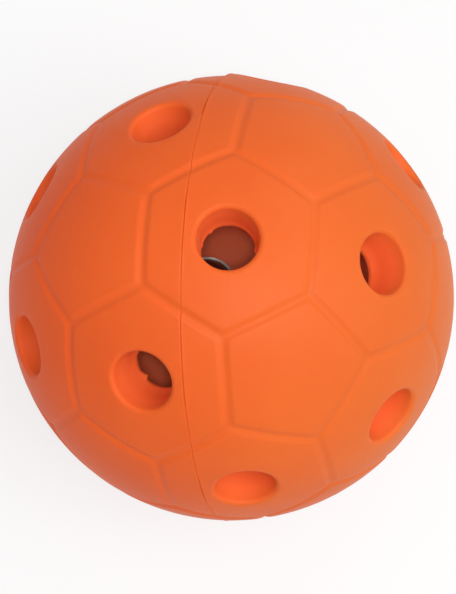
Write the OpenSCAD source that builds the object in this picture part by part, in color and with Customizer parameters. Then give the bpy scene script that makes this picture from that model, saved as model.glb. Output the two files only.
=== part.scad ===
// Perforated sound ball with loose jingle bells.
// A hollow soft vinyl ball with a football panel pattern. Every six-sided panel has a finger hole,
// moulded as a tapered cup that reaches into the ball and is cut open at its end.
// Six crimped sheet-metal bells lie loose inside, each with a wire loop and a rattling pellet.
// The origin is the ball's centre. +Z runs out through the middle of the top hole.

/* [Ball] */
// Outside diameter of the ball
ball_d = 160; // [150:1:200]
// Thickness of the vinyl wall
wall = 3; // [2:0.1:4]

/* [Finger holes] */
// Diameter of a hole where its wall would meet the ball's surface
mouth_d = 21.4; // [18:0.1:24]
// Radius of the rounded lip round a hole
lip_r = 2.4; // [1:0.1:3.5]
// Depth of a cup, from the ball's surface to the floor that is cut out
cup_depth = 16.5; // [10:0.1:18]
// Taper of the cup's wall against its axis, in degrees
draft = 5; // [2:0.5:7]
// Thickness of the cup's wall
cup_wall = 2.4; // [1.5:0.1:3]
// Thickness of the cup's floor
floor_t = 1.8; // [1:0.1:3]
// Diameter of the opening cut through the floor
opening_d = 17.8; // [14:0.1:18.2]

/* [Panel grooves] */
// Width of the groove between two panels
groove_w = 5; // [3:0.1:6]
// Depth of the groove
groove_d = 0.7; // [0.4:0.05:1.2]
// Diameter of the small flat where three grooves meet
corner_d = 2; // [1:0.1:3]
// How much deeper than the grooves that flat lies
corner_drop = 0.15; // [0.1:0.05:0.3]

/* [Bells] */
// Diameter of a bell's round body
bell_d = 20.8; // [18.6:0.1:22]
// Width of the crimped bead round a bell's middle
bead_w = 0.8; // [0.7:0.1:1.5]
// Thickness of the sheet metal
sheet = 0.5; // [0.3:0.05:0.6]
// Width of the cross slots
slot_w = 2.2; // [1.5:0.1:3]
// Diameter of the round end of a slot
slot_end_d = 4; // [3:0.1:5]
// Half the angle that a slot spans, in degrees
slot_half = 50; // [40:1:60]
// Diameter of the loop's wire
wire_d = 1.3; // [0.8:0.1:1.8]
// Clear width inside the loop
loop_w = 3.6; // [2.5:0.1:4.5]
// Clear height inside the loop, above the bell's crown
loop_h = 3.2; // [2.5:0.1:4]
// Diameter of the pellet
pellet_d = 6; // [4.2:0.1:7]

/* [Fits] */
// Gap between a loose piece and what it lies against
rest_gap = 0.4; // [0.3:0.05:0.8]
// Gap round the crimped rim and the legs of the loop
fit_gap = 0.05; // [0.03:0.01:0.1]

/* [Hidden] */
$fa = 4;
$fs = 0.8;
ball_r = ball_d / 2;
bell_r = bell_d / 2;
wire_r = wire_d / 2;
pellet_r = pellet_d / 2;

// Football pattern: twelve five-sided panels lie at the corners of an icosahedron.
// One of its faces looks up, so a six-sided panel is on top.
near_tilt = acos(sqrt((5 + 2 * sqrt(5)) / 15));
far_tilt = acos(sqrt((5 - 2 * sqrt(5)) / 15));
third = 120;
FIVES = [
    for (ring = [[near_tilt, 60], [far_tilt, 0], [180 - far_tilt, 60], [180 - near_tilt, 0]])
        for (turn = [0 : third : 359]) polar(ring[0], ring[1] + turn)
];
LAST = len(FIVES) - 1;
SIXES = [
    for (i = [0 : LAST]) for (j = [i + 1 : 1 : LAST]) for (k = [j + 1 : 1 : LAST])
        if (beside(i, j) && beside(j, k) && beside(i, k)) unit(FIVES[i] + FIVES[j] + FIVES[k])
];
CORNERS = [
    for (i = [0 : LAST]) for (j = [0 : LAST]) if (beside(i, j)) corner(i, j)
];
SIX_EDGES = [
    for (i = [0 : LAST]) for (j = [i + 1 : 1 : LAST]) if (beside(i, j)) [corner(i, j), corner(j, i)]
];
FIVE_EDGES = [
    for (i = [0 : LAST]) for (j = [0 : LAST]) for (k = [j + 1 : 1 : LAST])
        if (beside(i, j) && beside(i, k) && beside(j, k)) [corner(i, j), corner(i, k)]
];
// Angle between the axes of two neighbouring holes
hole_pitch = acos(sqrt(5) / 3);

// Groove: an arc through both groove edges on the ball's surface and the groove's floor
groove_floor = ball_r - groove_d;
groove_edge = sqrt(pow(ball_r, 2) - pow(groove_w / 2, 2));
groove_spine = (pow(ball_r, 2) - pow(groove_floor, 2)) / (2 * (groove_edge - groove_floor));
groove_r = groove_spine - groove_floor;

// Cup: heights are measured along the hole's axis from the ball's centre
mouth_r = mouth_d / 2;
mouth_h = sqrt(pow(ball_r, 2) - pow(mouth_r, 2));
ledge_h = ball_r - cup_depth;
cup_end_h = ledge_h - floor_t;
past = 2;
cup_chamfer = floor_t * 0.7;
root_h = ball_r - wall / 2;
cup_end_r = cup_r(cup_end_h) + cup_wall;
// The lip's circle stands this much proud of the wall and of the surface that it rounds off
lip_proud = 0.04 * lip_r;
lip_reach = lip_r - lip_proud;
lip_foot = [mouth_r + lip_reach * cos(draft), mouth_h - lip_reach * sin(draft)];
lip_up = [sin(draft), cos(draft)];
lip_side = [-cos(draft), sin(draft)];
lip_dot = lip_foot * lip_up;
lip_drop = sqrt(pow(lip_dot, 2) - lip_foot * lip_foot + pow(ball_r - lip_reach, 2)) - lip_dot;
lip_centre = lip_foot + lip_drop * lip_up;

// Bells at rest: six in a ring round the bottom cup, three of them between it and a neighbour cup
BELLS = [1, 2, 3, 4, 5, 6];
bell_side_r = bell_r + bead_w;
side_room = bell_side_r + rest_gap;
on_wall = ball_r - wall - bell_r - rest_gap;
rim_h = cup_end_h + cup_chamfer;
rim_far = norm([cup_end_r, rim_h]);
rim_tilt = atan2(cup_end_r, rim_h);
// A bell between two cups sinks to the wall, or rides on both cups where they are too close
gate_tilt = hole_pitch / 2;
gate_squeeze = pow(side_room, 2) - pow(rim_far * sin(gate_tilt - rim_tilt), 2);
on_cups = rim_far * cos(gate_tilt - rim_tilt) - sqrt(max(0, gate_squeeze));
gate_far = gate_squeeze > 0 ? min(on_wall, on_cups) : on_wall;
// A bell under a five-sided panel rolls down until the bottom cup or a neighbour bell stops it
cup_stop = rim_tilt + acos((pow(on_wall, 2) + pow(rim_far, 2) - pow(side_room, 2)) / (2 * on_wall * rim_far));
bell_gap = 2 * bell_side_r + rest_gap;
neighbour = [cos(gate_tilt), sin(gate_tilt) / 2];
meet = (pow(on_wall, 2) + pow(gate_far, 2) - pow(bell_gap, 2)) / (2 * on_wall * gate_far);
bell_stop = atan2(neighbour[1], neighbour[0]) + acos(min(1, meet / norm(neighbour)));
roll_tilt = max(cup_stop, bell_stop);

// Bell details
rim_r = bell_r + bead_w - sheet;
loop_r = loop_w / 2 + wire_r;
inner_r = bell_r - sheet;
foot_r = wire_r + 0.6 * sheet;
foot_top = sqrt(pow(inner_r, 2) - pow(loop_r + foot_r, 2)) - fit_gap;
arch_h = bell_r + loop_h - loop_w / 2;
pellet_far = inner_r - pellet_r - rest_gap;

vinyl = "#ee6a35";
nickel = "#c9c9c6";
steel = "#8d8f92";

function unit(v) = v / norm(v);
function polar(tilt, turn) = [sin(tilt) * cos(turn), sin(tilt) * sin(turn), cos(tilt)];
function beside(i, j) = abs(FIVES[i] * FIVES[j] - 1 / sqrt(5)) < 0.01;
function corner(i, j) = unit(2 * FIVES[i] + FIVES[j]);
// Radius of the cup's tapered inside at a height along its axis
function cup_r(h) = mouth_r - (mouth_h - h) * tan(draft);
// Odd bells lie under five-sided panels, even bells between two cups
function in_gate(k) = k % 2 == 0;
function bell_turn(k) = (k - 1) * 60;
function bell_tilt(k) = in_gate(k) ? gate_tilt : roll_tilt;
function bell_far(k) = in_gate(k) ? gate_far : on_wall;
function bell_way(k) = polar(180 - bell_tilt(k), bell_turn(k));

// Turns +Z to point along a direction
module along(way) {
    rotate([0, acos(way[2]), atan2(way[1], way[0])]) children();
}

// Stands a bell in its place, with its loop towards the ball's centre
module in_place(k) {
    along(bell_way(k)) translate([0, 0, bell_far(k)]) rotate([180, 0, 35 * k]) children();
}

// Round-bottomed groove along the arc from one corner to the next
module groove(from, to) {
    across = unit(cross(from, to));
    ahead = cross(across, from);
    multmatrix([
        [from[0], ahead[0], across[0], 0],
        [from[1], ahead[1], across[1], 0],
        [from[2], ahead[2], across[2], 0],
        [0, 0, 0, 1],
    ]) rotate_extrude(angle = acos(from * to)) translate([groove_spine, 0]) circle(groove_r);
}

// All panel grooves: three of them run into each other at every corner of the pattern,
// where a small flat takes away the point in which their floors touch
module panel_grooves() {
    for (edge = concat(SIX_EDGES, FIVE_EDGES)) groove(edge[0], edge[1]);
    for (way = CORNERS) along(way) translate([0, 0, groove_floor - corner_drop])
        cylinder(r = corner_d / 2, h = corner_drop + groove_d / 2);
}

// Outside of one moulded cup, from inside the ball's wall down to its end
module cup_body() {
    rotate_extrude() polygon([
        [0, cup_end_h],
        [cup_end_r - cup_chamfer, cup_end_h],
        [cup_end_r, rim_h],
        [cup_r(root_h) + cup_wall, root_h],
        [0, root_h],
    ]);
}

// What one hole takes away: the tapered bore, the rounded lip and the opening in the floor
module hole() {
    rotate_extrude() polygon([
        [0, ledge_h],
        [cup_r(ledge_h), ledge_h],
        [cup_r(ball_r + past), ball_r + past],
        [0, ball_r + past],
    ]);
    translate([0, 0, cup_end_h - past]) cylinder(r = opening_d / 2, h = floor_t + 2 * past);
    reach = 2 * lip_r;
    out = unit(lip_centre);
    rotate_extrude() difference() {
        polygon([
            lip_centre,
            lip_centre + reach * lip_side,
            lip_centre + reach * (lip_side + out),
            lip_centre + reach * out,
        ]);
        translate(lip_centre) circle(lip_r);
    }
}

// One-piece moulded ball with its cups, holes and grooves
module ball_shell() {
    color(vinyl) difference() {
        union() {
            difference() {
                sphere(ball_r);
                sphere(ball_r - wall);
            }
            for (way = SIXES) along(way) cup_body();
        }
        for (way = SIXES) along(way) hole();
        panel_grooves();
    }
}

// Upper half of a bell: a spherical crown with a flat rim
module bell_dome() {
    color(nickel) difference() {
        rotate_extrude() {
            intersection() {
                difference() {
                    circle(bell_r);
                    circle(inner_r);
                }
                square(bell_r + past);
            }
            translate([bell_r - sheet / 2, 0]) square([rim_r - fit_gap - bell_r + sheet / 2, sheet]);
        }
        for (side = [-1, 1]) translate([side * loop_r, 0, bell_r / 2]) cylinder(r = wire_r + fit_gap, h = bell_r);
    }
}

// Lower half of a bell: a slotted cup whose rim is folded over the crown's rim
module bell_cup() {
    fold = 2 * sheet + fit_gap;
    color(nickel) difference() {
        rotate_extrude() {
            intersection() {
                difference() {
                    circle(bell_r);
                    circle(inner_r);
                }
                translate([0, -bell_r - past]) square(bell_r + past);
            }
            translate([bell_r - sheet / 2, -sheet]) square([bead_w + sheet / 2, sheet]);
            translate([rim_r, -sheet]) square([sheet, sheet + fold]);
            translate([bell_r + bead_w / 4, sheet + fit_gap]) square([bead_w * 3 / 4, sheet]);
        }
        for (turn = [0, 90]) rotate([0, 0, turn]) {
            span = 2 * bell_r * sin(slot_half);
            depth = bell_r * (1 - cos(slot_half));
            translate([-span / 2, -slot_w / 2, -bell_r - past]) cube([span, slot_w, depth + past]);
            for (side = [-1, 1]) rotate([0, side * slot_half, 0])
                translate([0, 0, -bell_r - past]) cylinder(r = slot_end_d / 2, h = sheet + 2 * past);
        }
    }
}

// Wire loop: an arch whose two legs pass through the crown and are headed over inside
module bell_loop() {
    color(steel) {
        translate([0, 0, arch_h]) rotate([90, 0, 0]) rotate_extrude(angle = 180) translate([loop_r, 0]) circle(wire_r);
        for (side = [-1, 1]) translate([side * loop_r, 0, 0]) {
            translate([0, 0, foot_top]) cylinder(r = wire_r, h = arch_h - foot_top);
            translate([0, 0, foot_top - sheet]) cylinder(r = foot_r, h = sheet);
        }
    }
}

// Loose steel pellet at the lowest point inside its bell
module bell_pellet(k) {
    color(steel) translate(bell_far(k) * bell_way(k) - [0, 0, pellet_far]) sphere(pellet_r);
}

ball_shell();
for (k = BELLS) {
    in_place(k) bell_dome();
    in_place(k) bell_cup();
    in_place(k) bell_loop();
    bell_pellet(k);
}
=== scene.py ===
"""Looks of a perforated sound ball: a soft orange vinyl shell with loose nickel bells inside.

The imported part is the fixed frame. The shell is modelled here as one moulded piece with panel grooves,
rounded finger holes, cut cup floors and a parting line, and the bells get their metal finishes.
All lengths are in metres, in the part's own frame: the origin is the ball's centre and +Z runs out
through the top hole.
"""

import logging
import math
import random
from dataclasses import dataclass
from enum import Enum

import bpy
import numpy as np
from mathutils import Matrix, Vector


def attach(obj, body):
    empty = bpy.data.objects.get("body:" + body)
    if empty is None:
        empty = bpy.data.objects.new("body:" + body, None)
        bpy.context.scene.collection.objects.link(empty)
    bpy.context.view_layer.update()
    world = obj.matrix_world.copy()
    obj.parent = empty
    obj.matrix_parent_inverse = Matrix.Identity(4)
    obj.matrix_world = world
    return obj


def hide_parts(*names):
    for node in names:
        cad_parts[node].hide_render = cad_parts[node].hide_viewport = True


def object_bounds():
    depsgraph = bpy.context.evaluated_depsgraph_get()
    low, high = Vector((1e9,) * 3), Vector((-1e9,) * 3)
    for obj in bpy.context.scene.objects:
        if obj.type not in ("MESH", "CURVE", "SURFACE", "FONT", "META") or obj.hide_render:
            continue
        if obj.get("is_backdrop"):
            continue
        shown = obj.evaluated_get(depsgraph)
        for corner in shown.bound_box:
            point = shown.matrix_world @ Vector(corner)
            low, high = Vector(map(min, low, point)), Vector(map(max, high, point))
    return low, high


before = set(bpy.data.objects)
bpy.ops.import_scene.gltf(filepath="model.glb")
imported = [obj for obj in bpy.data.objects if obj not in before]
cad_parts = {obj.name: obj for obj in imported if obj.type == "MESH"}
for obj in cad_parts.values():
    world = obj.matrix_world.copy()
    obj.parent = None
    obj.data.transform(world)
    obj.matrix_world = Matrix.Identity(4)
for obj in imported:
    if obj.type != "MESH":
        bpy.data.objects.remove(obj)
CAD_BOX = [list(corner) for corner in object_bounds()]
log = logging.getLogger("sound_ball")

PHOTO_SIZE = (456, 594)
# Point marks where the vinyl takes painted light: the lining and the cups' walls
LINING_PAINTED_LIGHT_MARK = "lining"
CUP_PAINTED_LIGHT_MARK = "cup"
# The greys of a noise pattern seldom leave this stretch
GREY_SPAN = (0.3, 0.7)
# Angle between the axes of two neighbouring holes, in degrees
HOLE_PITCH = math.degrees(math.acos(math.sqrt(5) / 3))


class Zone(Enum):
    """Stretches of a six-sided panel's section, from its outline through the hole to the lining."""

    PANEL = "panel"
    LIP = "lip"
    WALL = "wall"
    LEDGE = "ledge"
    CUT = "cut"
    END = "end"
    BACK = "back"
    LINING = "lining"


class Metal(Enum):
    """Kinds of metal on a bell."""

    NICKEL = "nickel"
    WIRE = "wire"
    STEEL = "steel"


@dataclass(frozen=True)
class Station:
    """One ring of points on a panel's section: the stretch that it lies on and how far along it is."""

    zone: Zone
    share: float


@dataclass(frozen=True)
class Panel:
    """One flat panel of the football solid before it is rounded."""

    axis: np.ndarray
    height: float
    apothem: float
    sides: int
    across: np.ndarray
    along: np.ndarray


@dataclass(frozen=True)
class Burr:
    """A flap of vinyl that the cutter left by an opening's edge, with its angles in degrees."""

    hole_tilt: float
    hole_turn: float
    turn: float
    aside: float
    width: float
    depth: float

    def place(self, radius: float, height: float) -> np.ndarray:
        """Finds the burr, whose turn is counted from the side of the hole that faces away from the top.

        Args:
            radius: Radius of the opening's edge.
            height: Height of the edge along the hole's axis.

        Returns:
            The burr's middle.
        """
        tilt, heading, turn = np.radians([self.hole_tilt, self.hole_turn, self.turn])
        top = np.array([0.0, 0.0, 1.0])
        outward = np.array([math.cos(heading), math.sin(heading), 0.0])
        axis = math.cos(tilt) * top + math.sin(tilt) * outward
        slope = math.cos(tilt) * outward - math.sin(tilt) * top
        level = np.cross(axis, slope)
        return height * axis + (radius + self.aside) * (math.cos(turn) * slope + math.sin(turn) * level)


def deselect_all() -> None:
    """Leaves nothing selected and nothing in edit mode."""
    if bpy.context.object and bpy.context.object.mode != "OBJECT":
        bpy.ops.object.mode_set(mode="OBJECT")
    bpy.ops.object.select_all(action="DESELECT")


def coordinates(mesh: bpy.types.Mesh) -> np.ndarray:
    """Reads a mesh's points.

    Args:
        mesh: The mesh to read.

    Returns:
        One row of three numbers for each point.
    """
    points = np.empty(len(mesh.vertices) * 3)
    mesh.vertices.foreach_get("co", points)
    return points.reshape(-1, 3)


def move_points(mesh: bpy.types.Mesh, points: np.ndarray) -> None:
    """Puts a mesh's points at new places.

    Args:
        mesh: The mesh to change.
        points: One row of three numbers for each point.
    """
    mesh.vertices.foreach_set("co", points.ravel())
    mesh.update()


def unit(rows: np.ndarray) -> np.ndarray:
    """Scales each row to length one.

    Args:
        rows: One or more rows of three numbers.

    Returns:
        The scaled rows.
    """
    return rows / np.linalg.norm(rows, axis=-1, keepdims=True)


def even(count: int) -> list[float]:
    """Spaces shares evenly.

    Args:
        count: How many shares.

    Returns:
        The shares, from just after 0 to 1.
    """
    return [(i + 1) / count for i in range(count)]


def bulge(off: np.ndarray, width: float, power: int = 2) -> np.ndarray:
    """Shapes a rounded bump.

    Args:
        off: Distance from the bump's middle, at each point.
        width: How far the bump reaches.
        power: How flat its top and how steep its sides are.

    Returns:
        The bump's height at each point: 1 in its middle and nothing well past its width.
    """
    return np.exp(-((off / width) ** power))


class NodeSheet:
    """A material's node tree, with short ways to add and join nodes."""

    def __init__(self, name: str) -> None:
        """Starts a material that holds one surface shader and its output.

        Args:
            name: The material's name.
        """
        self.material = bpy.data.materials.new(name)
        self.material.use_nodes = True
        self.tree = self.material.node_tree
        self.shader = self.tree.nodes["Principled BSDF"]
        self.place = self.add("ShaderNodeTexCoord").outputs["Object"]

    def add(self, kind: str, **inputs: object) -> bpy.types.Node:
        """Adds a node and sets or joins its inputs.

        Args:
            kind: The node's type name.
            inputs: Input names, with underscores for spaces, and their values or source sockets.

        Returns:
            The new node.
        """
        node = self.tree.nodes.new(kind)
        for name, value in inputs.items():
            self.set(node, name.replace("_", " "), value)
        return node

    def set(self, node: bpy.types.Node, name: str, value: object) -> None:
        """Sets one input of a node, or joins it to a source.

        Args:
            node: The node to change.
            name: The input's name.
            value: A plain value, or an output socket to join it to.
        """
        if isinstance(value, bpy.types.NodeSocket):
            self.tree.links.new(value, node.inputs[name])
        else:
            node.inputs[name].default_value = value

    def noise(self, scale: float, detail: float) -> bpy.types.NodeSocket:
        """Adds a noise pattern on the piece's own coordinates.

        Args:
            scale: Pattern repeats per metre.
            detail: Number of finer layers.

        Returns:
            The pattern's grey value.
        """
        pattern = self.add("ShaderNodeTexNoise", Vector=self.place, Scale=scale, Detail=detail)
        return pattern.outputs["Fac"]

    def spread(self, source: bpy.types.NodeSocket, start: tuple, end: tuple) -> bpy.types.NodeSocket:
        """Carries a value from one range over to another.

        Args:
            source: The value.
            start: Lowest and highest value that it comes with.
            end: What these two become.

        Returns:
            The carried value.
        """
        limits = {"From_Min": start[0], "From_Max": start[1], "To_Min": end[0], "To_Max": end[1]}
        return self.add("ShaderNodeMapRange", Value=source, **limits).outputs["Result"]

    def between(self, source: bpy.types.NodeSocket, low: float, high: float) -> bpy.types.NodeSocket:
        """Spreads a noise pattern's grey over a range.

        Args:
            source: The grey value.
            low: Result at the low end of the pattern's greys.
            high: Result at the high end.

        Returns:
            The spread value.
        """
        return self.spread(source, GREY_SPAN, (low, high))

    def blend(self, share: bpy.types.NodeSocket, first: object, second: object) -> bpy.types.NodeSocket:
        """Mixes two colours by a grey value.

        Args:
            share: How much of the second colour shows.
            first: Colour, or a colour's source, where the share is 0.
            second: Colour, or a colour's source, where the share is 1.

        Returns:
            The mixed colour.
        """
        mix = self.tree.nodes.new("ShaderNodeMix")
        mix.data_type = "RGBA"
        colour_a, colour_b = [s for s in mix.inputs if s.type == "RGBA"]
        for socket, colour in ((colour_a, first), (colour_b, second)):
            if isinstance(colour, bpy.types.NodeSocket):
                self.tree.links.new(colour, socket)
            else:
                socket.default_value = (*colour, 1)
        self.tree.links.new(share, mix.inputs["Factor"])
        return [s for s in mix.outputs if s.type == "RGBA"][0]


@dataclass(frozen=True)
class VinylFinish:
    """Soft orange vinyl, moulded through in one colour, with a semi-matte skin."""

    # Painted light and shade: the next two fields are the vinyl's random light and deep tones on the
    # shaded -X side (deeper red) and on the lit +X side (yellower); the colour shifts between them along
    # X over the reach below
    shade_side_tones: tuple = ((0.82, 0.108, 0.0175), (0.78, 0.093, 0.0142))
    lit_side_tones: tuple = ((0.65, 0.140, 0.0210), (0.62, 0.121, 0.0172))
    side_light_reach: float = 0.08
    tone_scale: float = 22.0
    # Painted light: the cups' walls are coloured brighter and redder than the skin, standing in for light
    # bounced round and let through the walls in the holes
    cup: tuple = (0.91, 0.158, 0.040)
    # Painted light: the inside lining is coloured brighter than the skin, standing in for light let
    # through the wall into the ball
    lining: tuple = (0.93, 0.185, 0.078)
    skin_scale: float = 900.0
    skin_height: float = 0.00004
    skin_strength: float = 0.25
    layers: float = 3.0
    roughness: tuple = (0.46, 0.54)
    specular: float = 0.15
    glow_share: float = 0.25
    glow_depth: float = 0.0025
    glow_reach: tuple = (1.0, 0.45, 0.25)

    def material(self) -> bpy.types.Material:
        """Makes the vinyl: painted light and shade, yellower towards the lit +X side and deeper red
        towards the shaded -X side, with a moulded skin, painted light on the cups' walls and on the
        lining, and a soft glow.

        Returns:
            The finished material.
        """
        sheet = NodeSheet("soft_vinyl")
        shader = sheet.shader
        tone = sheet.between(sheet.noise(self.tone_scale, self.layers), 0.0, 1.0)
        # Painted light and shade: the colour shifts from the shaded -X side's tones to the lit +X side's
        # tones
        across = sheet.add("ShaderNodeSeparateXYZ", Vector=sheet.place).outputs["X"]
        side_light = sheet.spread(across, (-self.side_light_reach, self.side_light_reach), (0.0, 1.0))
        light, deep = (sheet.blend(side_light, *pair) for pair in zip(self.shade_side_tones, self.lit_side_tones))
        colour = sheet.blend(tone, deep, light)
        # Painted light: the cups' walls and the lining take brighter colours that stand in for light
        # reaching into the holes and the inside
        for mark, painted_light_colour in ((CUP_PAINTED_LIGHT_MARK, self.cup), (LINING_PAINTED_LIGHT_MARK, self.lining)):
            place = sheet.add("ShaderNodeAttribute")
            place.attribute_name = mark
            colour = sheet.blend(place.outputs["Fac"], colour, painted_light_colour)
        sheet.set(shader, "Base Color", colour)
        skin = sheet.noise(self.skin_scale, self.layers)
        sheet.set(shader, "Roughness", sheet.between(skin, *self.roughness))
        bump = sheet.add(
            "ShaderNodeBump", Strength=self.skin_strength, Distance=self.skin_height, Height=skin
        )
        sheet.set(shader, "Normal", bump.outputs["Normal"])
        sheet.set(shader, "Specular IOR Level", self.specular)
        sheet.set(shader, "Subsurface Weight", self.glow_share)
        sheet.set(shader, "Subsurface Radius", self.glow_reach)
        sheet.set(shader, "Subsurface Scale", self.glow_depth)
        return sheet.material


@dataclass(frozen=True)
class MetalFinish:
    """A metal of the bells, blotched by tarnish over a fine grain."""

    name: str
    light: tuple
    dark: tuple
    roughness: tuple
    blotch_scale: float
    grain_height: float
    blotch_layers: float = 4.0
    grain_layers: float = 2.0
    grains_per_blotch: float = 9.0
    grain_strength: float = 0.3

    def material(self) -> bpy.types.Material:
        """Makes the metal: blotches of tarnish over a fine grain.

        Returns:
            The finished material.
        """
        sheet = NodeSheet(self.name)
        shader = sheet.shader
        blotch = sheet.noise(self.blotch_scale, self.blotch_layers)
        share = sheet.between(blotch, 0.0, 1.0)
        sheet.set(shader, "Base Color", sheet.blend(share, self.light, self.dark))
        sheet.set(shader, "Roughness", sheet.between(blotch, *self.roughness))
        grain = sheet.noise(self.blotch_scale * self.grains_per_blotch, self.grain_layers)
        bump = sheet.add(
            "ShaderNodeBump", Strength=self.grain_strength, Distance=self.grain_height, Height=grain
        )
        sheet.set(shader, "Normal", bump.outputs["Normal"])
        sheet.set(shader, "Metallic", 1.0)
        return sheet.material


METAL_FINISHES = {
    Metal.NICKEL: MetalFinish(
        name="dull_nickel",
        light=(0.36, 0.33, 0.30),
        dark=(0.22, 0.20, 0.18),
        roughness=(0.42, 0.58),
        blotch_scale=260.0,
        grain_height=0.00004,
    ),
    Metal.WIRE: MetalFinish(
        name="drawn_wire",
        light=(0.54, 0.54, 0.54),
        dark=(0.40, 0.39, 0.38),
        roughness=(0.26, 0.40),
        blotch_scale=500.0,
        grain_height=0.00003,
    ),
    Metal.STEEL: MetalFinish(
        name="steel_ball",
        light=(0.58, 0.58, 0.59),
        dark=(0.46, 0.45, 0.45),
        roughness=(0.16, 0.30),
        blotch_scale=420.0,
        grain_height=0.00002,
    ),
}


@dataclass
class BallShell:
    """The one-piece vinyl shell: twelve plain fives and twenty sixes with a finger hole each."""

    # Football solid: share of an edge that each corner cut takes, and a top corner's angle
    corner_percent: float = 100 / 3
    top_turn: float = math.radians(60)
    # Wall and finger holes
    radius: float = 0.080
    wall: float = 0.003
    mouth_radius: float = 0.0107
    lip_radius: float = 0.0017
    cup_depth: float = 0.0165
    draft: float = math.radians(5)
    cup_wall: float = 0.0024
    cup_light_ramp: float = 0.005
    floor: float = 0.0018
    root_steps: int = 20
    # Ragged edge of the cut floors: its waves, nicks and burrs
    cut_waves: tuple = (3, 4, 5, 6, 7, 8)
    cut_waver: float = 0.00010
    waver_share: tuple = (0.2, 1.0)
    cut_nicks: int = 4
    cut_nick: float = 0.0007
    nick_share: tuple = (-0.3, 1.0)
    nick_width: tuple = (0.05, 0.16)
    flap_power: int = 4
    cut_margin: float = 0.00004
    cut_droop: float = 1.3
    burrs: tuple = (
        Burr(hole_tilt=HOLE_PITCH, hole_turn=240, turn=-21.98, aside=0.00031, width=0.0016, depth=0.0008),
        Burr(hole_tilt=HOLE_PITCH, hole_turn=240, turn=-81.4, aside=-0.00029, width=0.0009, depth=0.0005),
        Burr(hole_tilt=0, hole_turn=0, turn=134.13, aside=0.00002, width=0.0008, depth=0.0005),
        Burr(hole_tilt=0, hole_turn=0, turn=168.81, aside=-0.00004, width=0.0007, depth=0.0004),
        Burr(hole_tilt=0, hole_turn=0, turn=5.59, aside=-0.00008, width=0.0009, depth=0.0007),
        Burr(hole_tilt=0, hole_turn=0, turn=-14.26, aside=0.00002, width=0.0008, depth=0.0006),
    )
    # Panel grooves
    groove_half: float = 0.0027
    groove_depth: float = 0.00070
    groove_merge: float = 6.0
    # Rings of the mesh: shares of the way from a panel's outline to its hole or middle
    edge_cuts: int = 15
    ring_step: float = 0.00002
    groove_rings: int = 9
    six_groove_step: float = 0.025
    six_field: tuple = (0.28, 0.39, 0.53, 0.68, 0.84, 1.0)
    five_groove_step: float = 0.017
    five_field: tuple = (0.19, 0.26, 0.36, 0.48, 0.62, 0.80, 1.0)
    hole_rings: tuple = (
        (Zone.LIP, 7),
        (Zone.WALL, 3),
        (Zone.LEDGE, 2),
        (Zone.CUT, 2),
        (Zone.END, 2),
        (Zone.BACK, 2),
        (Zone.LINING, 2),
    )
    # Lining behind a five: each ring's size against the one before it, and how far it reaches
    lining_rings: tuple = (0.75, 2 / 3, 0.5)
    lining_reach: float = 1.25
    # Parting line of the two mould halves
    parting_axis: tuple = (0.9822, 0.0, 0.1876)
    parting_lines: tuple = (-0.0008, -0.00034, 0.0, 0.00034, 0.0008)
    parting_notch: float = 0.00026
    parting_ridge: float = 0.00012
    parting_step: float = 0.00006
    parting_roof: float = 0.00010
    parting_reach: float = 0.005
    parting_cut: float = 0.000001
    parting_waves: tuple = ((0.35, 9, 1.1), (0.25, 23, 0.0))
    parting_scars: tuple = ((0.85, 0.06, 1.3), (0.65, 0.03, 1.0))
    parting_shift: float = 0.0006
    parting_shift_turn: float = 0.25
    parting_shift_reach: tuple = (0.20, 0.009)
    parting_shift_sides: tuple = (-0.4, 1.0)
    crease: float = math.radians(48)
    seed: int = 7

    def __post_init__(self) -> None:
        """Works out the section of a hole from the driving sizes."""
        self.mouth_height = math.sqrt(self.radius**2 - self.mouth_radius**2)
        self.ledge_height = self.radius - self.cup_depth
        self.end_height = self.ledge_height - self.floor
        self.lining_radius = self.radius - self.wall
        up = np.array([math.sin(self.draft), math.cos(self.draft)])
        side = np.array([math.cos(self.draft), -math.sin(self.draft)])
        foot = np.array([self.mouth_radius, self.mouth_height]) + self.lip_radius * side
        reach = foot @ up
        inside = (self.radius - self.lip_radius) ** 2 - foot @ foot
        self.lip_centre = foot + (math.sqrt(reach**2 + inside) - reach) * up
        self.lip_tilt = math.atan2(*self.lip_centre)
        self.lip_turns = (math.pi / 2 - self.lip_tilt, math.pi - self.draft)
        self.lip_foot = self.lip_centre - self.lip_radius * side

    def cup_radius(self, height: float | np.ndarray) -> float | np.ndarray:
        """Measures the tapered cup's inside.

        Args:
            height: Height along the hole's axis.

        Returns:
            The cup's radius there.
        """
        return self.mouth_radius - (self.mouth_height - height) * math.tan(self.draft)

    def six_stations(self) -> list[Station]:
        """Lists the rings of a six-sided panel.

        Returns:
            Stations in order from the panel's outline to the lining's outline.
        """
        groove = [self.six_groove_step * i for i in range(self.groove_rings)]
        rings = [Station(Zone.PANEL, share) for share in (*groove, *self.six_field)]
        for zone, count in self.hole_rings:
            rings += [Station(zone, share) for share in even(count)]
        return rings

    def five_stations(self) -> list[Station]:
        """Lists the rings of a five-sided panel.

        Returns:
            Stations in order from the panel's outline to its middle.
        """
        groove = [self.five_groove_step * i for i in range(self.groove_rings)]
        return [Station(Zone.PANEL, share) for share in (*groove, *self.five_field)]

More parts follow.
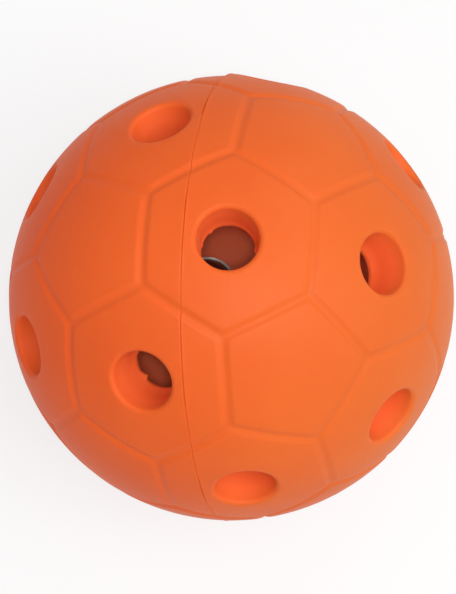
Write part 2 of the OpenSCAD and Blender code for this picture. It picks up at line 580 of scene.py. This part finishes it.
    def football(self) -> bpy.types.Object:
        """Models the flat football solid, with a six-sided panel on top.

        Returns:
            The solid, with its panels still flat and whole.
        """
        deselect_all()
        bpy.ops.mesh.primitive_ico_sphere_add(subdivisions=1, radius=self.radius)
        ball = bpy.context.object
        ball.name = "vinyl_shell"
        top = max(ball.data.polygons, key=lambda face: face.normal.z)
        upright = top.normal.rotation_difference(Vector((0, 0, 1))).to_matrix()
        corner = upright @ ball.data.vertices[top.vertices[0]].co
        turn = Matrix.Rotation(self.top_turn - math.atan2(corner.y, corner.x), 3, "Z")
        ball.rotation_euler = (turn @ upright).to_euler()
        bpy.ops.object.transform_apply(location=False, rotation=True, scale=False)
        bpy.ops.object.mode_set(mode="EDIT")
        bpy.ops.mesh.select_all(action="SELECT")
        bpy.ops.mesh.bevel(
            offset_type="PERCENT", offset_pct=self.corner_percent, segments=1, affect="VERTICES"
        )
        bpy.ops.object.mode_set(mode="OBJECT")
        return ball

    def read_panels(self, ball: bpy.types.Object) -> list[Panel]:
        """Reads the flat panels of the football solid.

        Args:
            ball: The football solid, before its edges are cut.

        Returns:
            All panels, fives and sixes.
        """
        points = coordinates(ball.data)
        panels = []
        for face in ball.data.polygons:
            corners = points[list(face.vertices)]
            axis = unit(corners.mean(axis=0))
            height = float(corners[0] @ axis)
            middles = (corners + np.roll(corners, -1, axis=0)) / 2 - height * axis
            across = unit(middles)
            apothem = float(np.linalg.norm(middles[0]))
            panels.append(Panel(axis, height, apothem, len(corners), across, np.cross(axis, across)))
        return panels

    def cut_rings(self, ball: bpy.types.Object) -> None:
        """Cuts the solid's edges and insets every panel ring by ring.

        Args:
            ball: The football solid.
        """
        bpy.ops.object.mode_set(mode="EDIT")
        bpy.ops.mesh.select_all(action="SELECT")
        bpy.ops.mesh.subdivide(number_cuts=self.edge_cuts)
        bpy.ops.mesh.select_mode(type="FACE")
        stretches = self.edge_cuts + 1
        for sides, stations in ((6, self.six_stations()), (5, self.five_stations())):
            bpy.ops.mesh.select_all(action="DESELECT")
            bpy.ops.object.mode_set(mode="OBJECT")
            for face in ball.data.polygons:
                face.select = len(face.vertices) == sides * stretches
            bpy.ops.object.mode_set(mode="EDIT")
            for _ in stations[1:]:
                bpy.ops.mesh.inset(thickness=self.ring_step, use_individual=True)
            bpy.ops.mesh.delete(type="ONLY_FACE")
        bpy.ops.object.mode_set(mode="OBJECT")

    def groove_at(self, ways: np.ndarray, arcs: np.ndarray) -> np.ndarray:
        """Works out how deep the panel grooves are.

        Args:
            ways: Directions from the ball's centre.
            arcs: Pairs of corner directions, one pair for each groove.

        Returns:
            The depth at each direction, blended where grooves meet.
        """
        total = np.zeros(len(ways))
        for start, end in arcs:
            across = unit(np.cross(start, end))
            beyond_start = ways @ np.cross(across, start) < 0
            beyond_end = ways @ np.cross(end, across) < 0
            off = np.arcsin(np.clip(np.abs(ways @ across), 0, 1))
            to_start = np.arccos(np.clip(ways @ start, -1, 1))
            to_end = np.arccos(np.clip(ways @ end, -1, 1))
            off = np.where(beyond_start, to_start, np.where(beyond_end, to_end, off))
            away = np.clip(off * self.radius / self.groove_half, 0, 1)
            total += (0.5 + 0.5 * np.cos(math.pi * away)) ** self.groove_merge
        return self.groove_depth * total ** (1 / self.groove_merge)

    def section(self, station: Station, outline_tilt: np.ndarray, opening: np.ndarray) -> np.ndarray:
        """Places one ring of a six-sided panel on its section.

        Args:
            station: The ring's stretch and share.
            outline_tilt: Angle of the panel's outline from its axis, at each point of the ring.
            opening: Radius of the cut opening, at each point of the ring.

        Returns:
            Distance from the axis and height along it, at each point of the ring.
        """
        share = station.share
        same = np.ones_like(outline_tilt)
        cup_radius = self.cup_radius(self.ledge_height)
        end_radius = self.cup_radius(self.end_height) + self.cup_wall
        root_tilt = self.root_tilt()
        root = self.lining_radius * np.array([math.sin(root_tilt), math.cos(root_tilt)])
        if station.zone is Zone.LIP:
            turn = self.lip_turns[0] + share * (self.lip_turns[1] - self.lip_turns[0])
            spot = self.lip_centre + self.lip_radius * np.array([math.cos(turn), math.sin(turn)])
            return np.column_stack([same * spot[0], same * spot[1]])
        if station.zone is Zone.WALL:
            height = self.lip_foot[1] + share * (self.ledge_height - self.lip_foot[1])
            return np.column_stack([same * self.cup_radius(height), same * height])
        drop = self.cut_droop * (cup_radius - opening)
        if station.zone is Zone.LEDGE:
            aside = cup_radius + share * (opening - cup_radius)
            return np.column_stack([aside, self.ledge_height - share * drop])
        if station.zone is Zone.CUT:
            return np.column_stack([opening, self.ledge_height - drop - share * (self.floor - drop)])
        if station.zone is Zone.END:
            return np.column_stack([opening + share * (end_radius - opening), same * self.end_height])
        if station.zone is Zone.BACK:
            start = np.array([end_radius, self.end_height])
            spot = start + share * (root - start)
            return np.column_stack([same * spot[0], same * spot[1]])
        if station.zone is Zone.LINING:
            tilt = root_tilt + share * (outline_tilt - root_tilt)
            return self.lining_radius * np.column_stack([np.sin(tilt), np.cos(tilt)])
        raise ValueError(station.zone)

    def root_tilt(self) -> float:
        """Finds where the cup's outside runs into the lining, closer with each step.

        Returns:
            The angle of that place from the hole's axis.
        """
        height = self.lining_radius
        for _ in range(self.root_steps):
            height = math.sqrt(self.lining_radius**2 - (self.cup_radius(height) + self.cup_wall) ** 2)
        return math.acos(height / self.lining_radius)

    def cut_opening(self, panel: Panel, outward: np.ndarray, dice: random.Random) -> np.ndarray:
        """Draws the ragged edge that a hand-held cutter leaves.

        Args:
            panel: The panel that the hole is in.
            outward: Directions away from the hole's axis.
            dice: Source of each hole's own waver and nicks.

        Returns:
            The opening's radius in each direction.
        """
        turns = np.arctan2(outward @ panel.along[0], outward @ panel.across[0])
        foot = self.cup_radius(self.ledge_height)
        radius = np.full(len(turns), foot)
        for waves in self.cut_waves:
            phase = dice.uniform(0, 2 * math.pi)
            swing = self.cut_waver * dice.uniform(*self.waver_share) / math.sqrt(waves)
            radius += swing * np.cos(waves * turns + phase)
        for _ in range(self.cut_nicks):
            middle = dice.uniform(-math.pi, math.pi)
            width = dice.uniform(*self.nick_width)
            off = np.angle(np.exp(1j * (turns - middle)))
            radius -= self.cut_nick * dice.uniform(*self.nick_share) * bulge(off, width, self.flap_power)
        edge = panel.axis * self.ledge_height + foot * outward
        for burr in self.burrs:
            off = np.linalg.norm(edge - burr.place(foot, self.ledge_height), axis=1)
            radius -= burr.depth * bulge(off, burr.width, self.flap_power)
        return np.minimum(radius, foot - self.cut_margin)

    def lay_rings(self, ball: bpy.types.Object, panels: list[Panel], arcs: np.ndarray) -> None:
        """Moves every ring from the flat panel to its place on the moulded section.

        Args:
            ball: The football solid with its rings.
            panels: The flat panels.
            arcs: Pairs of corner directions, one pair for each groove.
        """
        flat = coordinates(ball.data)
        placed = unit(flat) * self.radius
        skin = np.ones(len(flat), dtype=bool)
        dice = random.Random(self.seed)
        for panel in panels:
            stations = self.six_stations() if panel.sides == 6 else self.five_stations()
            mine = np.where(np.abs(flat @ panel.axis - panel.height) < self.ring_step / 10)[0]
            local = flat[mine] - np.outer(flat[mine] @ panel.axis, panel.axis)
            reach = local @ panel.across.T
            edge = reach.argmax(axis=1)
            ring = np.rint((panel.apothem - reach.max(axis=1)) / self.ring_step).astype(int)
            side_length = 2 * panel.apothem * math.tan(math.pi / panel.sides)
            stretch = side_length / (self.edge_cuts + 1)
            along = np.rint(np.einsum("ij,ij->i", local, panel.along[edge]) / stretch) * stretch
            outline = panel.apothem * panel.across[edge] + along[:, None] * panel.along[edge]
            outward = unit(outline)
            tilt = np.arctan2(np.linalg.norm(outline, axis=1), panel.height)
            opening = self.cut_opening(panel, outward, dice)
            for number, station in enumerate(stations[1:], start=1):
                here = ring == number
                if station.zone is Zone.PANEL:
                    last = self.lip_tilt if panel.sides == 6 else 0.0
                    angle = tilt[here] + station.share * (last - tilt[here])
                    spot = self.radius * np.column_stack([np.sin(angle), np.cos(angle)])
                else:
                    spot = self.section(station, tilt[here], opening[here])
                    skin[mine[here]] = False
                placed[mine[here]] = spot[:, :1] * outward[here] + spot[:, 1:] * panel.axis
        depth = self.groove_at(unit(placed[skin]), arcs)
        placed[skin] -= depth[:, None] * unit(placed[skin])
        move_points(ball.data, placed)

    def draw_in(self, mesh: bpy.types.Mesh, share: float) -> None:
        """Draws each selected face in towards its own middle.

        Args:
            mesh: The shell's mesh.
            share: The face's new size against its old one.
        """
        points = coordinates(mesh)
        for face in mesh.polygons:
            if face.select:
                mine = list(face.vertices)
                middle = points[mine].mean(axis=0)
                points[mine] = middle + share * (points[mine] - middle)
        move_points(mesh, points)

    def close_lining(self, ball: bpy.types.Object, panels: list[Panel]) -> None:
        """Joins the lining of the sixes and closes it behind the fives.

        Args:
            ball: The shell with its rings in place.
            panels: The flat panels.
        """
        bpy.ops.object.mode_set(mode="EDIT")
        bpy.ops.mesh.select_mode(type="VERT")
        bpy.ops.mesh.select_all(action="SELECT")
        bpy.ops.mesh.remove_doubles(threshold=self.ring_step / 4)
        bpy.ops.mesh.select_all(action="DESELECT")
        bpy.ops.mesh.select_non_manifold()
        bpy.ops.mesh.fill_holes(sides=0)
        bpy.ops.mesh.select_mode(type="FACE")
        bpy.ops.mesh.select_all(action="DESELECT")
        bpy.ops.object.mode_set(mode="OBJECT")
        fill_sides = 5 * (self.edge_cuts + 1)
        for face in ball.data.polygons:
            face.select = len(face.vertices) == fill_sides
        bpy.ops.object.mode_set(mode="EDIT")
        for share in self.lining_rings:
            bpy.ops.mesh.inset(thickness=self.ring_step, use_even_offset=False, use_individual=True)
            bpy.ops.object.mode_set(mode="OBJECT")
            self.draw_in(ball.data, share)
            bpy.ops.object.mode_set(mode="EDIT")
        bpy.ops.mesh.poke()
        bpy.ops.object.mode_set(mode="OBJECT")
        points = coordinates(ball.data)
        far = np.linalg.norm(points, axis=1)
        behind = np.zeros(len(points), dtype=bool)
        for panel in panels:
            if panel.sides == 5:
                reach = self.lining_reach * math.atan2(panel.apothem, panel.height)
                near_axis = unit(points) @ panel.axis > math.cos(reach)
                behind |= near_axis & (far < self.lining_radius + self.wall / 2)
        points[behind] = unit(points[behind]) * self.lining_radius
        move_points(ball.data, points)

    def cut_parting_line(self, ball: bpy.types.Object) -> None:
        """Runs the fine mark of the two mould halves round the ball.

        Args:
            ball: The closed shell.
        """
        axis = np.array(self.parting_axis)
        axis = axis / np.linalg.norm(axis)
        bpy.ops.object.mode_set(mode="EDIT")
        for offset in self.parting_lines:
            bpy.ops.mesh.select_all(action="SELECT")
            place = tuple(offset * axis)
            bpy.ops.mesh.bisect(plane_co=place, plane_no=tuple(axis), threshold=self.parting_cut)
        bpy.ops.mesh.select_all(action="SELECT")
        bpy.ops.mesh.normals_make_consistent(inside=False)
        bpy.ops.object.mode_set(mode="OBJECT")
        points = coordinates(ball.data)
        off = points @ axis
        far = np.linalg.norm(points, axis=1)
        narrow = self.parting_lines[-2]
        turn = np.arctan2(points @ np.cross(axis, (0, 1, 0)), points[:, 1])
        scar = np.ones_like(turn)
        for share, waves, phase in self.parting_waves:
            scar += share * np.sin(waves * turn + phase)
        for middle, width, height in self.parting_scars:
            scar += height * bulge(turn - middle, width)
        near = np.exp(-np.abs(off) / self.parting_reach)
        lift = self.parting_roof * near - self.parting_step * np.where(off < 0, near, 0)
        lift -= scar * self.parting_notch * np.clip(1 - np.abs(off) / narrow, 0, 1)
        lift += scar * self.parting_ridge * np.clip(1 - np.abs(off - narrow) / narrow, 0, 1)
        turn_reach, side_reach = self.parting_shift_reach
        shift = self.parting_shift * bulge(turn - self.parting_shift_turn, turn_reach)
        lift += shift * np.exp(-np.abs(off) / side_reach) * np.where(off < 0, *self.parting_shift_sides)
        outside = far > self.radius - self.wall / 2
        points[outside] += (lift / far)[outside, None] * points[outside]
        move_points(ball.data, points)

    def mark_places(self, ball: bpy.types.Object, panels: list[Panel]) -> None:
        """Marks the points on the cups' walls and those on the lining, where the finish paints light in.

        Args:
            ball: The finished shell.
            panels: The flat panels.
        """
        points = coordinates(ball.data)
        axes = np.array([panel.axis for panel in panels if panel.sides == 6])
        height = (points @ axes.T).max(axis=1)
        aside = np.sqrt(np.maximum(np.einsum("ij,ij->i", points, points) - height**2, 0))
        cup = self.cup_radius(height)
        behind = np.linalg.norm(points, axis=1) < self.radius - self.wall / 2
        beyond_cup = aside > cup + self.cup_wall / 2
        # Painted light on the cups' walls, growing with depth into each hole
        cup_light_with_depth = np.clip((self.mouth_height - height) / self.cup_light_ramp, 0, 1)
        cup_painted_light = np.where(aside < cup + self.lip_radius / 4, cup_light_with_depth, 0)
        for name, share in ((LINING_PAINTED_LIGHT_MARK, (behind & beyond_cup).astype(float)), (CUP_PAINTED_LIGHT_MARK, cup_painted_light)):
            mark = ball.data.attributes.new(name, "FLOAT", "POINT")
            mark.data.foreach_set("value", share)

    def build(self) -> bpy.types.Object:
        """Models the shell.

        Returns:
            The finished shell, at the origin.
        """
        ball = self.football()
        panels = self.read_panels(ball)
        corners = unit(coordinates(ball.data))
        arcs = np.array([[corners[i] for i in edge.vertices] for edge in ball.data.edges])
        self.cut_rings(ball)
        self.lay_rings(ball, panels, arcs)
        self.close_lining(ball, panels)
        self.cut_parting_line(ball)
        self.mark_places(ball, panels)
        bpy.ops.object.shade_smooth_by_angle(angle=self.crease)
        return ball

    def dress(self, ball: bpy.types.Object, finish: VinylFinish) -> None:
        """Gives the shell its vinyl and its place in the part.

        Args:
            ball: The finished shell.
            finish: The vinyl.
        """
        ball.data.materials.clear()
        ball.data.materials.append(finish.material())
        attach(ball, "shell")
        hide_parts("ball_shell")
        log.info("vinyl shell: %d faces", len(ball.data.polygons))


@dataclass
class Bells:
    """The loose bells, each with two pressed halves, a wire loop and a pellet."""

    count: int = 6

    def dress(self) -> None:
        """Gives each piece of each bell its metal."""
        metals = {kind: finish.material() for kind, finish in METAL_FINISHES.items()}
        pieces = {"dome": Metal.NICKEL, "cup": Metal.NICKEL, "loop": Metal.WIRE, "pellet": Metal.STEEL}
        for number in range(1, self.count + 1):
            for piece, kind in pieces.items():
                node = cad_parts[f"bell_{number}_{piece}"]
                node.data.materials.clear()
                node.data.materials.append(metals[kind])
            log.info("bell %d dressed", number)


@dataclass(frozen=True)
class Lamp:
    """A square soft lamp that looks at the ball, with its power in watts."""

    name: str
    place: tuple
    size: float
    power: float

    def build(self) -> None:
        """Hangs the lamp."""
        light = bpy.data.lights.new(self.name, "AREA")
        light.size = self.size
        light.energy = self.power
        lamp = bpy.data.objects.new(self.name, light)
        lamp.location = self.place
        lamp.rotation_euler = (-Vector(self.place)).to_track_quat("-Z", "Y").to_euler()
        bpy.context.scene.collection.objects.link(lamp)


@dataclass
class Studio:
    """A plain pale floor, white surroundings and soft lamps."""

    floor_height: float
    floor_size: float = 8.0
    floor_shade: float = 0.82
    floor_roughness: float = 0.9
    shadow_share: float = 0.30
    surround: float = 0.49
    lamps: tuple = (
        Lamp("key_lamp", place=(0.45, -0.32, 1.08), size=0.6, power=6.1),
        Lamp("side_lamp", place=(0.95, -0.18, 0.65), size=0.8, power=2.4),
        Lamp("back_lamp", place=(0.45, 0.75, 0.75), size=0.6, power=1.8),
        Lamp("front_lamp", place=(0.030, -0.247, 0.969), size=0.05, power=2.6),
    )

    def white_for_eye(self, tree: bpy.types.NodeTree) -> bpy.types.NodeSocket:
        """Adds a switch that is 1 where the surroundings are seen, mirrored or seen through.

        Args:
            tree: The node tree to add to.

        Returns:
            The switch.
        """
        path = tree.nodes.new("ShaderNodeLightPath")
        seen = path.outputs["Is Camera Ray"]
        for ray in ("Is Glossy Ray", "Is Transmission Ray"):
            either = tree.nodes.new("ShaderNodeMath")
            either.operation = "MAXIMUM"
            tree.links.new(seen, either.inputs[0])
            tree.links.new(path.outputs[ray], either.inputs[1])
            seen = either.outputs[0]
        return seen

    def build_surround(self) -> None:
        """Makes the world: white to the eye and a plain even light on the object."""
        world = bpy.data.worlds.new("white_surround")
        world.use_nodes = True
        tree = world.node_tree
        ground = tree.nodes["Background"]
        ground.inputs["Color"].default_value = (1, 1, 1, 1)
        level = tree.nodes.new("ShaderNodeMapRange")
        tree.links.new(self.white_for_eye(tree), level.inputs["Value"])
        level.inputs["To Min"].default_value = self.surround
        level.inputs["To Max"].default_value = 1.0
        tree.links.new(level.outputs["Result"], ground.inputs["Strength"])
        bpy.context.scene.world = world

    def build_floor(self) -> None:
        """Makes the floor under the ball: white to the eye, with the ball's soft shadow left in."""
        deselect_all()
        bpy.ops.mesh.primitive_plane_add(size=self.floor_size, location=(0, 0, self.floor_height))
        floor = bpy.context.object
        floor.name = "floor"
        sheet = NodeSheet("pale_floor")
        sheet.set(sheet.shader, "Base Color", (*[self.floor_shade] * 3, 1))
        sheet.set(sheet.shader, "Roughness", self.floor_roughness)
        sheet.set(sheet.shader, "Specular IOR Level", 0.0)
        glow = sheet.add("ShaderNodeEmission", Color=(1, 1, 1, 1), Strength=1.0)
        share = sheet.spread(self.white_for_eye(sheet.tree), (0.0, 1.0), (0.0, 1 - self.shadow_share))
        mix = sheet.add("ShaderNodeMixShader", Fac=share)
        sheet.tree.links.new(sheet.shader.outputs[0], mix.inputs[1])
        sheet.tree.links.new(glow.outputs[0], mix.inputs[2])
        sheet.tree.links.new(mix.outputs[0], sheet.tree.nodes["Material Output"].inputs["Surface"])
        floor.data.materials.append(sheet.material)
        floor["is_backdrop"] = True

    def build(self) -> None:
        """Sets up the floor, the surroundings and the lamps."""
        self.build_surround()
        self.build_floor()
        for lamp in self.lamps:
            lamp.build()
        bpy.context.scene.view_settings.view_transform = "Standard"
        log.info("studio set up")


@dataclass
class PhotoCamera:
    """The camera at the photograph's viewing angle."""

    distance: float = 0.9176
    azimuth: float = math.radians(6.93)
    elevation: float = math.radians(75.6)
    roll: float = math.radians(-3.45)
    focal_pixels: float = 2543.4
    ball_right: float = 3.35
    ball_down: float = 0.79
    sensor: float = 36.0
    clip_end: float = 50.0

    def build(self) -> None:
        """Places the camera and aims it at the ball's centre."""
        level = math.cos(self.elevation)
        heading = (math.sin(self.azimuth) * level, -math.cos(self.azimuth) * level)
        back = Vector((*heading, math.sin(self.elevation)))
        right = Vector((0, 0, 1)).cross(back).normalized()
        upright = Matrix((right, back.cross(right), back)).transposed()
        turned = Matrix.Rotation(self.roll, 3, back) @ upright
        data = bpy.data.cameras.new("photo_camera")
        long_side = max(PHOTO_SIZE)
        data.sensor_width = self.sensor
        data.lens = self.focal_pixels / long_side * self.sensor
        data.shift_x = -self.ball_right / long_side
        data.shift_y = self.ball_down / long_side
        data.clip_end = self.clip_end
        camera = bpy.data.objects.new("photo_camera", data)
        camera.matrix_world = Matrix.Translation(back * self.distance) @ turned.to_4x4()
        bpy.context.scene.collection.objects.link(camera)
        bpy.context.scene.camera = camera
        log.info("camera at %s", tuple(round(x, 4) for x in camera.matrix_world.translation))


def main() -> None:
    """Builds the camera, the studio and every piece."""
    logging.basicConfig(level=logging.INFO, format="%(name)s: %(message)s")
    PhotoCamera().build()
    shell = BallShell()
    shell.dress(shell.build(), VinylFinish())
    Bells().dress()
    visual_box = [list(corner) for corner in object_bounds()]
    Studio(min(CAD_BOX[0][2], visual_box[0][2])).build()
    deselect_all()


if __name__ == "__main__":
    main()
